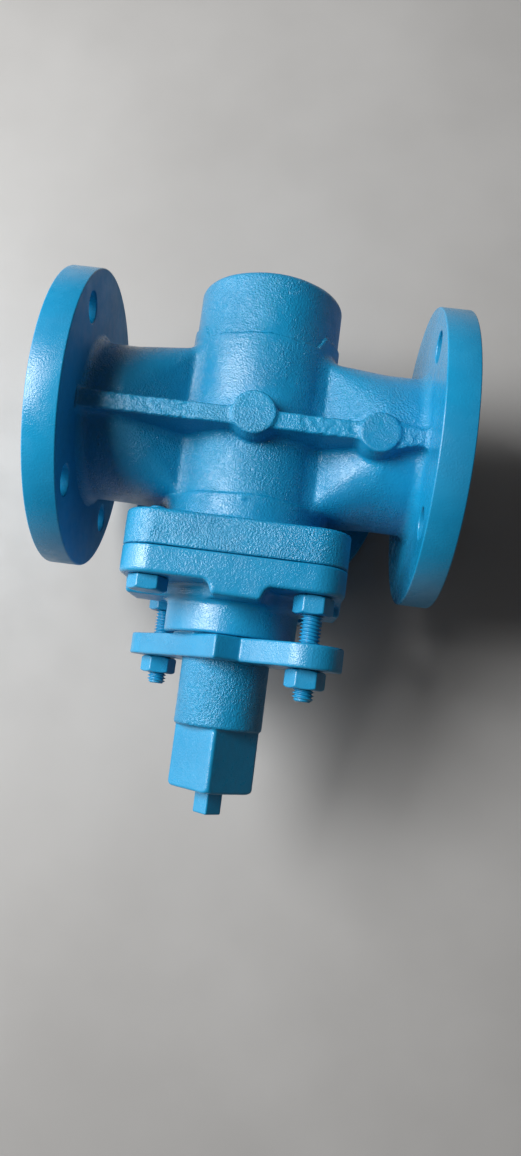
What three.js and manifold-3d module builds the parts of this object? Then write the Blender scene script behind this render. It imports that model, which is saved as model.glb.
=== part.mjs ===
// Three way lubricated taper plug valve, NPS 3, class 150, flanged.
// Millimetres, +Z up. X is the line of the two side ports, Y is the plug axis with the
// operating square at -Y, and the third port faces down. The group's children are drawn
// about the body centre, where the plug axis crosses the port axes.
import * as THREE from 'three';
import { mergeVertices } from 'three/addons/utils/BufferGeometryUtils.js';
import Module from 'manifold-3d';

const wasm = await Module();
wasm.setup();

// ---- pipe flanges and ports (ASME B16.5 class 150, NPS 3) ----
const FLANGE_R = 95.25;
const FLANGE_BACK = 104.4;
const FLANGE_FACE = 123.8;
const FLANGE_CHAMFER = 1.2;
const RAISED_FACE_R = 63.5;
const RAISED_FACE_H = 1.6;
const BOLT_CIRCLE_R = 76.2;
const BOLT_HOLE_R = 9.55;
const BOLTS_PER_FLANGE = 4;
const BORE_R = 38.1;
const NECK_R = 50.5;
const NECK_FILLET = 7;
const NECK_SQUARE_AT = 42;
const NECK_ROUND_AT = 80;
const NECK_HALF_Y = 49;
const NECK_HALF_Z = 28;
const NECK_CORNER = 8;
const PORT_HALF_Y = 42;
const PORT_HALF_Z = 16;
const PORT_CORNER = 8;
const PORT_ROUND_AT = 92;
const PORT_SQUARE_AT = 46;

// ---- barrel, rib and bosses ----
const BARREL_END = 95.5;
const BARREL_END_R = 46.8;
const BARREL_MID_R = 47.6;
const BARREL_LOW_R = 48.6;
const BARREL_END_STEP = 54;
const BARREL_LOW_STEP = -49.5;
const BARREL_ROUND = 3.5;
const RIB_Y = -4;
const RIB_WIDTH = 10.5;
const RIB_TOP = 59.5;
const RIB_PAD_TOP = 60.5;
const RIB_PAD_HALF = 33;
const BOSS_R = 13;
const BOSS_Y = -1.5;
const BOSS_TOP = 62;
const NECK_BOSS_R = 11.7;
const NECK_BOSS_X = 75;
const NECK_BOSS_Y = -4.6;
const NECK_BOSS_TOP = 61.5;
const RIB_FOOT = 30;

// ---- cover joint ----
const COVER_HALF = 66.3;
const COVER_CORNER = 20;
const BODY_FLANGE_TOP = -65.5;
const BODY_JOINT = -86.4;
const COVER_JOINT = -87.2;
const COVER_FLOOR = -103.2;
const COVER_HUB = -111;
const HUB_R = 50;
const HUB_ROUND = 5;
const ARM_NEAR_HALF = 19;
const ARM_NEAR_SHIFT = 3;
const ARM_SIDE_HALF = 25;
const NECK_END = -130.9;
const STUFFING_R = 41.5;
const STUFFING_BORE_R = 35.5;
const STUFFING_FLOOR = -104;
const COVER_BORE_R = 28.2;
const JOINT_RECESS_R = 57;
const JOINT_RECESS = 1.6;
const COVER_RECESS = 0.8;
const OPENING_R = 39.5;

// ---- fasteners (1/2 inch BSW, 12 threads per inch, hexagons 0.820 inch across flats) ----
const FIX = 48.65;
const STUD_R = 6.35;
const CLEAR_R = 7.1;
const TAPPED_R = 6.65;
const HEX_AF = 20.8;
const NUT_H = 11;
const HEAD_H = 8.5;
const STUD_IN = -70.3;
const STUD_OUT = -164.2;
const TAPPED_END = -69.6;
const BOLT_END = -62;

// ---- plug ----
const PLUG_R0 = 36;
const TAPER = 0.04;
const PLUG_BOTTOM = 62;
const PLUG_SHOULDER = -68;
const PLUG_HEAD_R = 38;
const PLUG_HEAD = -81;
const SEAT_GAP = 0.12;
const SEAT_END = 64;
const CHAMBER_R = 32.8;
const CHAMBER_END = 84;
const STEM_R = 27.5;
const STEM_ROUND_END = -186.6;
const SQUARE_AF = 38.3;
const SQUARE_END = -224.8;
const GROOVE_W = 3.2;
const GROOVE_DEPTH = 1.8;
const GROOVE_TOP = -52;
const GROOVE_BOTTOM = 52;

// ---- gland ----
const PLATE_TOP = -131.8;
const PLATE_BOTTOM = -145.8;
const PLATE_END_R = 20.5;
const GLAND_BORE_R = 27.9;
const SLEEVE_R = 35.2;
const SLEEVE_END = -124.7;
const SLEEVE_ROOT = 0.2;
const RING_H = 6.5;
const RING_COUNT = 3;

// ---- sealant screw and check valve in the stem ----
const SCREW_AF = 12.6;
const SCREW_END = -239;
const SCREW_R = 9.4;
const SCREW_BORE_R = 9.75;
const SCREW_SHOULDER = -222.5;
const SCREW_NOSE = -197;
const SCREW_BORE_END = -185;
const STICK_R = 8;
const STICK_BORE_R = 8.35;
const STICK_END = -150;
const STICK_BORE_END = -132.5;
const SEAT_RING_OUT = -137.5;
const SEAT_RING_IN = -132.8;
const SEAT_RING_HOLE_R = 2.5;
const BALL_R = 4.5;
const BALL_Y = -128.6;
const SPRING_R = 3.7;
const WIRE_R = 0.6;
const SPRING_COILS = 4;
const CHECK_CHAMBER_R = 5.6;
const CHECK_CHAMBER_END = -112;
const OILWAY_R = 2.5;
const OILWAY_END = -53;

const GAP = 0.3;
const FINE = 48;
const MEDIUM = 32;
const COARSE = 16;
const PER_CORNER = 6;

// ---- materials ----
function paint(roughness) {
  return new THREE.MeshStandardMaterial({ color: 0x2f8fc4, roughness, metalness: 0.05 });
}
const CAST_PAINT = paint(0.38);
const SMOOTH_PAINT = paint(0.32);
const STEEL = new THREE.MeshStandardMaterial({ color: 0x8c9196, roughness: 0.35, metalness: 0.9 });
const PACKING = new THREE.MeshStandardMaterial({ color: 0x3b3936, roughness: 0.9, metalness: 0 });
const FIBRE = new THREE.MeshStandardMaterial({ color: 0x4d4a44, roughness: 0.85, metalness: 0 });
const SEALANT = new THREE.MeshStandardMaterial({ color: 0xb8a26a, roughness: 0.6, metalness: 0 });

// ---- solids ----
function solid(geometry) {
  const g = geometry.index ? geometry.toNonIndexed() : geometry.clone();
  g.deleteAttribute('normal');
  g.deleteAttribute('uv');
  const merged = mergeVertices(g, 1e-4);
  return new wasm.Manifold(new wasm.Mesh({
    numProp: 3,
    vertProperties: new Float32Array(merged.attributes.position.array),
    triVerts: new Uint32Array(merged.index.array),
  }));
}

function geometryOf(manifold) {
  const mesh = manifold.getMesh();
  const g = new THREE.BufferGeometry();
  g.setAttribute('position', new THREE.BufferAttribute(new Float32Array(mesh.vertProperties), 3));
  g.setIndex(new THREE.BufferAttribute(new Uint32Array(mesh.triVerts), 1));
  g.computeVertexNormals();
  return g;
}

// A solid carried to another place or turned another way.
function moved(manifold, matrix) {
  const g = geometryOf(manifold);
  g.applyMatrix4(matrix);
  return solid(g);
}

function shifted(manifold, x, y, z) {
  return moved(manifold, new THREE.Matrix4().makeTranslation(x, y, z));
}

function spun(manifold, angle) {
  return moved(manifold, new THREE.Matrix4().makeRotationY(angle));
}

function joined(list) {
  return list.reduce((sum, next) => sum.add(next));
}

// A solid turned about the Y axis from [radius, y] corners, listed with y falling.
function turned(profile, segments = FINE) {
  const closed = [[0, profile[0][1]], ...profile, [0, profile[profile.length - 1][1]]];
  const points = closed.map(([r, y]) => new THREE.Vector2(r, y)).reverse();
  return solid(new THREE.LatheGeometry(points, segments));
}

// A ring turned about the Y axis, with a rectangular section.
function ring(inner, outer, high, low, segments = FINE) {
  const corners = [[inner, low], [outer, low], [outer, high], [inner, high], [inner, low]];
  const points = corners.map(([r, y]) => new THREE.Vector2(r, y));
  return solid(new THREE.LatheGeometry(points, segments));
}

function rod(radius, high, low, segments = COARSE) {
  return turned([[radius, high], [radius, low]], segments);
}

// A prism drawn in the X-Z plane and swept along Y from low to high.
function prism(shape, high, low, bevel = 0) {
  const g = new THREE.ExtrudeGeometry(shape, {
    depth: high - low - bevel,
    curveSegments: 5,
    bevelEnabled: bevel > 0,
    bevelThickness: bevel,
    bevelSize: bevel,
    bevelOffset: -bevel,
    bevelSegments: 2,
  });
  g.rotateX(Math.PI / 2);
  g.translate(0, high, 0);
  return solid(g);
}

function roundedRectangle(halfX, halfZ, corner) {
  const s = new THREE.Shape();
  s.moveTo(-halfX + corner, -halfZ);
  s.lineTo(halfX - corner, -halfZ);
  s.absarc(halfX - corner, -halfZ + corner, corner, -Math.PI / 2, 0);
  s.lineTo(halfX, halfZ - corner);
  s.absarc(halfX - corner, halfZ - corner, corner, 0, Math.PI / 2);
  s.lineTo(-halfX + corner, halfZ);
  s.absarc(-halfX + corner, halfZ - corner, corner, Math.PI / 2, Math.PI);
  s.lineTo(-halfX, -halfZ + corner);
  s.absarc(-halfX + corner, -halfZ + corner, corner, Math.PI, Math.PI * 1.5);
  return s;
}

function box(lowX, lowY, lowZ, highX, highY, highZ) {
  const g = new THREE.BoxGeometry(highX - lowX, highY - lowY, highZ - lowZ);
  g.translate((lowX + highX) / 2, (lowY + highY) / 2, (lowZ + highZ) / 2);
  return solid(g);
}

// Turns a solid made about Y so that its +Y end points the given way.
function pointed(manifold, direction) {
  const q = new THREE.Quaternion();
  q.setFromUnitVectors(new THREE.Vector3(0, 1, 0), direction);
  return moved(manifold, new THREE.Matrix4().makeRotationFromQuaternion(q));
}

// Points of a section: a rounded rectangle (half height hy, half width hz) with the same
// number of points whatever its size, so that a circle is the case corner = hy = hz.
function section(hy, hz, corner, perCorner) {
  const points = [];
  for (let c = 0; c < 4; c += 1) {
    const cy = (c === 0 || c === 3 ? 1 : -1) * (hy - corner);
    const cz = (c < 2 ? 1 : -1) * (hz - corner);
    for (let i = 0; i <= perCorner; i += 1) {
      const a = (c + i / perCorner) * Math.PI / 2;
      points.push([cy + corner * Math.cos(a), cz + corner * Math.sin(a)]);
    }
  }
  return points;
}

// A skin through sections at stations along +X, capped at both ends.
function loft(stations) {
  const rings = stations.map(({ x, hy, hz, corner }) => ({ x, points: section(hy, hz, corner, PER_CORNER) }));
  const count = rings[0].points.length;
  const position = [];
  const index = [];
  for (const { x, points } of rings) {
    for (const [y, z] of points) {
      position.push(x, y, z);
    }
  }
  for (let r = 0; r + 1 < rings.length; r += 1) {
    for (let i = 0; i < count; i += 1) {
      const j = (i + 1) % count;
      const a = r * count + i;
      const b = r * count + j;
      index.push(a, b, a + count, b, b + count, a + count);
    }
  }
  for (let i = 1; i + 1 < count; i += 1) {
    index.push(0, i + 1, i);
    const end = (rings.length - 1) * count;
    index.push(end, end + i, end + i + 1);
  }
  const g = new THREE.BufferGeometry();
  g.setAttribute('position', new THREE.Float32BufferAttribute(position, 3));
  g.setIndex(index);
  return solid(g);
}

function blend(from, to, t) {
  return from + (to - from) * t;
}

// Square-to-round stations between two places along the port axis.
function squareToRound(square, round, steps) {
  const list = [];
  for (let i = 0; i <= steps; i += 1) {
    const t = i / steps;
    list.push({
      x: blend(square.x, round.x, t),
      hy: blend(square.hy, round.r, t),
      hz: blend(square.hz, round.r, t),
      corner: blend(square.corner, round.r - 0.01, t),
    });
  }
  return list;
}

function circleStation(x, r) {
  return { x, hy: r, hz: r, corner: r - 0.01 };
}

// ---- pipe flange with its neck, along +X ----
function neckOutside() {
  const square = { x: NECK_SQUARE_AT, hy: NECK_HALF_Y, hz: NECK_HALF_Z, corner: NECK_CORNER };
  const list = [{ ...square, x: 8 }];
  list.push(...squareToRound(square, { x: NECK_ROUND_AT, r: NECK_R }, 4));
  const start = FLANGE_BACK - NECK_FILLET;
  for (let i = 0; i <= 3; i += 1) {
    const a = (i / 3) * Math.PI / 2;
    const r = NECK_R + NECK_FILLET * (1 - Math.cos(a));
    list.push(circleStation(start + NECK_FILLET * Math.sin(a), r));
  }
  list.push(circleStation(FLANGE_BACK + 4, NECK_R + NECK_FILLET));
  return loft(list);
}

function portInside() {
  const square = { x: PORT_SQUARE_AT, hy: PORT_HALF_Y, hz: PORT_HALF_Z, corner: PORT_CORNER };
  const list = [{ ...square, x: 6 }];
  list.push(...squareToRound(square, { x: PORT_ROUND_AT, r: BORE_R }, 4));
  list.push(circleStation(FLANGE_FACE + RAISED_FACE_H + 2, BORE_R));
  return loft(list);
}

function flangeDisc() {
  const face = FLANGE_FACE;
  return turned([
    [RAISED_FACE_R, face + RAISED_FACE_H],
    [RAISED_FACE_R, face],
    [FLANGE_R, face],
    [FLANGE_R, FLANGE_BACK + FLANGE_CHAMFER],
    [FLANGE_R - FLANGE_CHAMFER, FLANGE_BACK],
  ]);
}

function flangeHoles() {
  const holes = [];
  for (let i = 0; i < BOLTS_PER_FLANGE; i += 1) {
    const a = (i + 0.5) * 2 * Math.PI / BOLTS_PER_FLANGE;
    const hole = rod(BOLT_HOLE_R, FLANGE_FACE + 3, FLANGE_BACK - 3);
    holes.push(shifted(hole, BOLT_CIRCLE_R * Math.cos(a), 0, BOLT_CIRCLE_R * Math.sin(a)));
  }
  return joined(holes);
}

const RIGHT = new THREE.Vector3(1, 0, 0);
const LEFT = new THREE.Vector3(-1, 0, 0);
const DOWN = new THREE.Vector3(0, 0, -1);
const UP = new THREE.Vector3(0, 0, 1);

// Turns a solid made along +X so that it points down, keeping Y.
function downward(manifold) {
  return spun(manifold, Math.PI / 2);
}

function mirrored(manifold) {
  return spun(manifold, Math.PI);
}

// ---- body casting ----
function ribBar(halfLength, top) {
  return box(-halfLength, RIB_Y - RIB_WIDTH / 2, RIB_FOOT, halfLength, RIB_Y + RIB_WIDTH / 2, top);
}

function makeBody() {
  const barrel = turned([
    [BARREL_END_R - BARREL_ROUND, BARREL_END],
    [BARREL_END_R - BARREL_ROUND * 0.3, BARREL_END - BARREL_ROUND * 0.3],
    [BARREL_END_R, BARREL_END - BARREL_ROUND],
    [BARREL_END_R, BARREL_END_STEP + 1],
    [BARREL_MID_R, BARREL_END_STEP],
    [BARREL_MID_R, BARREL_LOW_STEP],
    [BARREL_LOW_R, BARREL_LOW_STEP - 1],
    [BARREL_LOW_R, BODY_FLANGE_TOP + 4],
    [BARREL_LOW_R + 4, BODY_FLANGE_TOP - 2],
  ]);
  const square = roundedRectangle(COVER_HALF, COVER_HALF, COVER_CORNER);
  const coverFlange = prism(square, BODY_FLANGE_TOP, BODY_JOINT);
  const neck = neckOutside();
  const disc = flangeDisc();
  const parts = [
    barrel,
    coverFlange,
    neck,
    mirrored(neck),
    downward(neck),
    pointed(disc, RIGHT),
    pointed(disc, LEFT),
    pointed(disc, DOWN),
    ribBar(FLANGE_BACK + 1, RIB_TOP),
    ribBar(RIB_PAD_HALF, RIB_PAD_TOP),
    shifted(pointed(rod(BOSS_R, BOSS_TOP, RIB_FOOT, MEDIUM), UP), 0, BOSS_Y, 0),
    shifted(pointed(rod(NECK_BOSS_R, NECK_BOSS_TOP, RIB_FOOT, MEDIUM), UP), NECK_BOSS_X, NECK_BOSS_Y, 0),
  ];
  const port = portInside();
  const seatTop = PLUG_R0 + TAPER * -PLUG_SHOULDER + SEAT_GAP;
  const cavity = turned([
    [CHAMBER_R, CHAMBER_END],
    [CHAMBER_R, SEAT_END],
    [PLUG_R0 - TAPER * SEAT_END + SEAT_GAP, SEAT_END],
    [seatTop, PLUG_SHOULDER],
    [OPENING_R, PLUG_SHOULDER - 0.5],
    [OPENING_R, BODY_JOINT + JOINT_RECESS],
    [JOINT_RECESS_R, BODY_JOINT + JOINT_RECESS],
    [JOINT_RECESS_R, BODY_JOINT - 2],
  ]);
  const holes = flangeHoles();
  const cuts = [
    cavity,
    port,
    mirrored(port),
    downward(port),
    pointed(holes, RIGHT),
    pointed(holes, LEFT),
    pointed(holes, DOWN),
  ];
  for (const side of [-1, 1]) {
    cuts.push(shifted(rod(TAPPED_R, TAPPED_END, BODY_JOINT - 2), side * FIX, 0, side * FIX));
    cuts.push(shifted(rod(TAPPED_R, BODY_FLANGE_TOP + 3, BODY_JOINT - 2), -side * FIX, 0, side * FIX));
  }
  return joined(parts).subtract(joined(cuts));
}

// ---- cover with its stuffing box ----
function crossShape() {
  const reach = COVER_HALF + 12;
  const near = prism(armShape(ARM_NEAR_SHIFT - ARM_NEAR_HALF, ARM_NEAR_SHIFT + ARM_NEAR_HALF, 0, reach),
    COVER_FLOOR + 1, COVER_HUB, HUB_ROUND);
  const far = prism(armShape(-ARM_NEAR_SHIFT - ARM_NEAR_HALF, -ARM_NEAR_SHIFT + ARM_NEAR_HALF, -reach, 0),
    COVER_FLOOR + 1, COVER_HUB, HUB_ROUND);
  const side = prism(armShape(-reach, reach, -ARM_SIDE_HALF, ARM_SIDE_HALF),
    COVER_FLOOR + 1, COVER_HUB, HUB_ROUND);
  return joined([near, far, side]);
}

function armShape(lowX, highX, lowZ, highZ) {
  const s = new THREE.Shape();
  s.moveTo(lowX, lowZ);
  s.lineTo(highX, lowZ);
  s.lineTo(highX, highZ);
  s.lineTo(lowX, highZ);
  s.closePath();
  return s;
}

function makeCover() {
  const square = roundedRectangle(COVER_HALF, COVER_HALF, COVER_CORNER);
  const slab = prism(square, COVER_JOINT, COVER_FLOOR);
  const outline = prism(square, COVER_JOINT, COVER_HUB - 1);
  const hub = turned([
    [HUB_R, COVER_FLOOR + 1],
    [HUB_R, COVER_FLOOR - 1.5],
    [HUB_R - HUB_ROUND * 0.3, COVER_HUB + HUB_ROUND * 0.3],
    [HUB_R - HUB_ROUND, COVER_HUB],
  ]);
  const neck = turned([
    [STUFFING_R, COVER_FLOOR],
    [STUFFING_R, NECK_END + 1],
    [STUFFING_R - 1, NECK_END],
  ]);
  const raised = crossShape().intersect(outline);
  const cavity = turned([
    [JOINT_RECESS_R, COVER_JOINT + 2],
    [JOINT_RECESS_R, COVER_JOINT - COVER_RECESS],
    [COVER_BORE_R, COVER_JOINT - COVER_RECESS],
    [COVER_BORE_R, STUFFING_FLOOR],
    [STUFFING_BORE_R, STUFFING_FLOOR],
    [STUFFING_BORE_R, NECK_END - 2],
  ]);
  const cuts = [cavity];
  for (const x of [-FIX, FIX]) {
    for (const z of [-FIX, FIX]) {
      cuts.push(shifted(rod(CLEAR_R, COVER_JOINT + 2, COVER_HUB - 2), x, 0, z));
    }
  }
  return joined([slab, raised, hub, neck]).subtract(joined(cuts));
}

// ---- squares for the wrench ----
// A square bar along Y, turned so that one edge faces up, with its low end chamfered.
function squareBar(acrossFlats, high, low) {
  const corner = acrossFlats * 0.04;
  const reach = acrossFlats / Math.SQRT2;
  const chamfer = acrossFlats * 0.05;
  const bar = prism(roundedRectangle(acrossFlats / 2, acrossFlats / 2, corner), high, low);
  const trim = turned([[reach, high], [reach, low + chamfer], [reach - chamfer * 1.6, low]], MEDIUM);
  return spun(bar, Math.PI / 4).intersect(trim);
}

// ---- plug with its stem and operating square ----
function makePlug() {
  const chamfer = 1.5;
  const taper = turned([
    [PLUG_R0 - TAPER * PLUG_BOTTOM - chamfer, PLUG_BOTTOM],
    [PLUG_R0 - TAPER * (PLUG_BOTTOM - chamfer), PLUG_BOTTOM - chamfer],
    [PLUG_R0 - TAPER * PLUG_SHOULDER, PLUG_SHOULDER],
    [PLUG_HEAD_R, PLUG_SHOULDER - 1],
    [PLUG_HEAD_R, PLUG_HEAD],
    [STEM_R, PLUG_HEAD],
    [STEM_R, STEM_ROUND_END + 1],
    [STEM_R - 1, STEM_ROUND_END],
  ]);
  const square = squareBar(SQUARE_AF, STEM_ROUND_END + 4, SQUARE_END);
  const port = box(-60, -PORT_HALF_Y, -PORT_HALF_Z, 60, PORT_HALF_Y, PORT_HALF_Z);
  const branch = box(-PORT_HALF_Z, -PORT_HALF_Y, -60, PORT_HALF_Z, PORT_HALF_Y, 0);
  const cuts = [
    port,
    branch,
    rod(SCREW_BORE_R, SCREW_BORE_END, SQUARE_END - 2, MEDIUM),
    rod(STICK_BORE_R, STICK_BORE_END, SCREW_BORE_END - 1, MEDIUM),
    rod(CHECK_CHAMBER_R, CHECK_CHAMBER_END, STICK_BORE_END - 1),
    rod(OILWAY_R, OILWAY_END, CHECK_CHAMBER_END - 1, 12),
  ];
  const across = new THREE.Vector3(1, 0, 1).normalize();
  const other = new THREE.Vector3(1, 0, -1).normalize();
  for (const way of [across, other]) {
    cuts.push(shifted(pointed(rod(2, 60, -60, 12), way), 0, OILWAY_END - 1, 0));
  }
  for (let i = 0; i < 4; i += 1) {
    const groove = box(30, GROOVE_TOP - 3, -GROOVE_W / 2, 60, GROOVE_BOTTOM, GROOVE_W / 2);
    const keep = turned([
      [PLUG_R0 - TAPER * 60 - GROOVE_DEPTH, 60],
      [PLUG_R0 + TAPER * 60 - GROOVE_DEPTH, -60],
    ], MEDIUM);
    cuts.push(spun(groove.subtract(keep), (i + 0.5) * Math.PI / 2));
  }
  return taper.add(square).subtract(joined(cuts));
}

// ---- gland: plate with two ears and the sleeve that presses the packing ----
function earPoint(side, angle) {
  return [side * FIX + PLATE_END_R * Math.cos(angle), side * FIX + PLATE_END_R * Math.sin(angle)];
}

function glandShape() {
  const half = [
    [-5, 52],
    [9.5, 44],
  ];
  const outline = [];
  for (const side of [1, -1]) {
    for (const [x, z] of half) {
      outline.push([side * x, side * z]);
    }
    const from = side > 0 ? Math.PI * 0.73 : -Math.PI * 0.27;
    for (let i = 0; i <= 14; i += 1) {
      outline.push(earPoint(side, from - (i / 14) * Math.PI * 1.02));
    }
  }
  const s = new THREE.Shape();
  outline.forEach(([x, z], i) => (i ? s.lineTo(x, z) : s.moveTo(x, z)));
  s.closePath();
  return s;
}

function makeGland() {
  const plate = prism(glandShape(), PLATE_TOP, PLATE_BOTTOM);
  const sleeve = ring(GLAND_BORE_R, SLEEVE_R, SLEEVE_END, PLATE_TOP - SLEEVE_ROOT);
  const cuts = [rod(GLAND_BORE_R, PLATE_TOP + 3, PLATE_BOTTOM - 3, FINE)];
  for (const side of [-1, 1]) {
    cuts.push(shifted(rod(CLEAR_R, PLATE_TOP + 3, PLATE_BOTTOM - 3), side * FIX, 0, side * FIX));
  }
  return plate.subtract(joined(cuts)).add(sleeve);
}

// ---- fasteners ----
function hexPrism(high, low) {
  const corner = HEX_AF / 2 / Math.cos(Math.PI / 6);
  const hexagon = new THREE.CylinderGeometry(corner, corner, high - low, 6);
  hexagon.translate(0, (high + low) / 2, 0);
  const chamfer = 1.4;
  const flat = HEX_AF / 2 - 0.2;
  const trim = turned([[flat, high], [corner + 0.3, high - chamfer], [corner + 0.3, low + chamfer], [flat, low]],
    COARSE);
  return solid(hexagon).intersect(trim);
}

function nut(high) {
  return hexPrism(high, high - NUT_H).subtract(rod(STUD_R + GAP, high + 1, high - NUT_H - 1));
}

function stud(high, low) {
  const tip = 1.2;
  return turned([[STUD_R - tip, high], [STUD_R, high - tip], [STUD_R, low + tip], [STUD_R - tip, low]], COARSE);
}

function coverBolt() {
  const shank = turned([[STUD_R - 1.6, BOLT_END], [STUD_R, BOLT_END - 1.6], [STUD_R, COVER_FLOOR - 3]], COARSE);
  return shank.add(hexPrism(COVER_FLOOR - GAP, COVER_FLOOR - GAP - HEAD_H));
}

// ---- sealant screw and check valve ----
function makeScrew() {
  const body = turned([[SCREW_R - 1.5, SCREW_NOSE], [SCREW_R, SCREW_NOSE - 1.5], [SCREW_R, SCREW_SHOULDER + 0.8],
    [SCREW_R - 0.8, SCREW_SHOULDER]], MEDIUM);
  return body.add(squareBar(SCREW_AF, SCREW_SHOULDER + 3, SCREW_END));
}

class Helix extends THREE.Curve {
  constructor(radius, from, to, coils) {
    super();
    Object.assign(this, { radius, from, to, coils });
  }

  getPoint(t, target = new THREE.Vector3()) {
    const a = t * this.coils * 2 * Math.PI;
    return target.set(this.radius * Math.cos(a), blend(this.from, this.to, t), this.radius * Math.sin(a));
  }
}

function makeSpring() {
  const wire = new THREE.Shape();
  wire.absarc(0, 0, WIRE_R, 0, 2 * Math.PI);
  const from = BALL_Y + Math.sqrt((BALL_R + WIRE_R + GAP) ** 2 - (SPRING_R) ** 2) + GAP;
  const path = new Helix(SPRING_R, from, CHECK_CHAMBER_END - WIRE_R - GAP, SPRING_COILS);
  return new THREE.ExtrudeGeometry(wire, {
    steps: SPRING_COILS * 10,
    curveSegments: 3,
    bevelEnabled: false,
    extrudePath: path,
  });
}

// ---- assembly ----
const valve = new THREE.Group();
const plugGroup = new THREE.Group();
const glandGroup = new THREE.Group();
valve.add(plugGroup, glandGroup);

function place(name, shape, material, group = valve, x = 0, z = 0) {
  const mesh = new THREE.Mesh(shape.isBufferGeometry ? shape : geometryOf(shape), material);
  mesh.name = name;
  mesh.position.set(x, 0, z);
  group.add(mesh);
}

place('body', makeBody(), CAST_PAINT);
place('cover', makeCover(), CAST_PAINT);

const diaphragmTop = BODY_JOINT + JOINT_RECESS - GAP;
place('diaphragm', ring(COVER_BORE_R, JOINT_RECESS_R - 1, diaphragmTop, diaphragmTop - 0.6), STEEL);
const gasketTop = diaphragmTop - 0.6 - GAP;
place('cover_gasket', ring(OPENING_R, JOINT_RECESS_R - 0.5, gasketTop, COVER_JOINT - COVER_RECESS + GAP), FIBRE);
place('thrust_washer', ring(COVER_BORE_R, PLUG_HEAD_R, PLUG_HEAD - GAP, PLUG_HEAD - GAP - 3.2), STEEL);

for (let i = 0; i < RING_COUNT; i += 1) {
  const high = STUFFING_FLOOR - GAP - i * (RING_H + GAP);
  place(`packing_ring_${i + 1}`, ring(STEM_R + GAP, STUFFING_BORE_R - GAP, high, high - RING_H, MEDIUM), PACKING);
}

// Studs stand at the near right and far left corners, bolts at the other two.
for (const [suffix, side] of [['near', 1], ['far', -1]]) {
  place(`stud_${suffix}`, stud(STUD_IN, STUD_OUT), SMOOTH_PAINT, valve, side * FIX, side * FIX);
  place(`cover_nut_${suffix}`, nut(COVER_FLOOR - GAP), SMOOTH_PAINT, valve, side * FIX, side * FIX);
  place(`cover_bolt_${suffix}`, coverBolt(), SMOOTH_PAINT, valve, -side * FIX, side * FIX);
  place(`gland_nut_${suffix}`, nut(PLATE_BOTTOM - GAP), SMOOTH_PAINT, glandGroup, side * FIX, side * FIX);
}
place('gland', makeGland(), SMOOTH_PAINT, glandGroup);

place('plug', makePlug(), SMOOTH_PAINT, plugGroup);
place('sealant_screw', makeScrew(), SMOOTH_PAINT, plugGroup);
place('sealant_stick', rod(STICK_R, STICK_END, SCREW_NOSE + GAP), SEALANT, plugGroup);
place('check_seat', ring(SEAT_RING_HOLE_R, STICK_BORE_R - GAP, SEAT_RING_IN, SEAT_RING_OUT, COARSE), STEEL, plugGroup);
const ball = new THREE.SphereGeometry(BALL_R, 14, 10);
ball.translate(0, BALL_Y, 0);
place('check_ball', ball, STEEL, plugGroup);
place('check_spring', makeSpring(), STEEL, plugGroup);

// The row's origin is under the middle of the bounding box, at the third port's face.
const MIDDLE_Y = (BARREL_END + SCREW_END) / 2;
valve.position.set(0, -MIDDLE_Y, FLANGE_FACE + RAISED_FACE_H);
valve.name = 'three_way_valve';

export default valve;
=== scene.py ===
"""Three way plug valve: detailed visual model, materials, light and camera.

Shapes are written in millimetres about the body centre, where the plug axis (Y) crosses the
port axes (X and -Z), and are put into the row frame in metres when a mesh is made.
"""
import math
import bpy
import numpy as np
from mathutils import Matrix, Vector


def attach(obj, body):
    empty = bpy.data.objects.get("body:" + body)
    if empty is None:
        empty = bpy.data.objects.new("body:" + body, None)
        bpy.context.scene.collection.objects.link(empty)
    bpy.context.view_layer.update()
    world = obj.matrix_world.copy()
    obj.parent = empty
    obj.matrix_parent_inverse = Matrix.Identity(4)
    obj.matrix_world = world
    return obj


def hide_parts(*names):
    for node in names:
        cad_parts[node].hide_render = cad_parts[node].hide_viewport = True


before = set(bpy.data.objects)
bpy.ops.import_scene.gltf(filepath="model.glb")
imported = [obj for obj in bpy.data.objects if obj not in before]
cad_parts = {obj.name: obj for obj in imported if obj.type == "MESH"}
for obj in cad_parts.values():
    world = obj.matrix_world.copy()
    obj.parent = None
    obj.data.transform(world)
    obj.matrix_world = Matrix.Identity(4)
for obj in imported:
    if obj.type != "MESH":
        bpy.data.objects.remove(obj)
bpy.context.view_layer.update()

MM = 0.001
CENTRE = np.array([0.0, 71.75, 125.4])

# ---- sizes, in millimetres; hole and circle sizes are radii ----
FLANGE_R, FLANGE_BACK, FLANGE_FACE = 95.25, 104.4, 123.8
RAISED, RAISED_R, GROOVES_R, GROOVE_PITCH, GROOVE_DEPTH = 1.6, 63.5, 46, 0.8, 0.22
BOLT_CIRCLE, BOLT_HOLE, BORE = 76.2, 9.55, 38.1
RIM_EDGE, EDGE_STEPS = 0.9, 3
# the fasteners are at (FIX, FIX), (-FIX, -FIX), (FIX, -FIX) and (-FIX, FIX)
FIX, TAPPED_R, CLEAR_R, THREAD_HOLE_R = 48.65, 6.65, 7.1, 6.55
# heights along the plug axis, from the body's joint face down to the end of the stuffing box
JOINT_BODY, JOINT_COVER, FLOOR_Y, HUB_Y, NECK_END = -86.55, -87.05, -103.2, -111.0, -130.9
SQUARE_HALF, SQUARE_CORNER = 66.3, 20
TAPER_R, TAPER = 36, 0.04
WINDOW_WIDE, WINDOW_HIGH = 16, 42
PITCH, THREAD_ROOT, THREAD_CREST = 25.4 / 12, 4.8, 6.3
FINE, MEDIUM = 0.45, 0.9


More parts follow.
